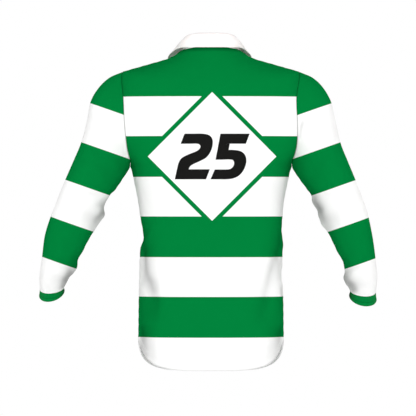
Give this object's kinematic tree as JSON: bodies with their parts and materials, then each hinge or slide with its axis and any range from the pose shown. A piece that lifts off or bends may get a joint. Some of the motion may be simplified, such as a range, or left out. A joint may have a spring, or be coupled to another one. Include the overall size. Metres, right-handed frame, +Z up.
{
  "type": "rugby shirt",
  "caption": "Long-sleeved rugby shirt in hooped cotton jersey, hollow and filled out as worn, with a turn-down collar, a buttoned placket, rib cuffs and a shirt-tail hem.",
  "frame": {"origin": "between the shoulders, on the middle line, at the height where the shirt rests on them", "axes": "+Z up to the wearer's head, +Y the way the wearer faces, +X towards the wearer's right arm"},
  "size_m": [0.8134, 0.2635, 0.8103],
  "materials": {
    "jersey": "matt cotton knit, hooped green and white",
    "rib": "matt rib knit",
    "twill": "matt cotton twill",
    "rubber": "satin"
  },
  "bodies": {
    "root": {"back_panel": "jersey", "front_panel": "jersey", "sleeve_left": "jersey", "sleeve_right": "jersey", "cuff_left": "rib", "cuff_right": "rib", "collar_stand": "twill", "collar_fall": "twill", "placket": "twill", "button_1": "rubber", "button_2": "rubber", "button_3": "rubber"}
  },
  "joints": []
}
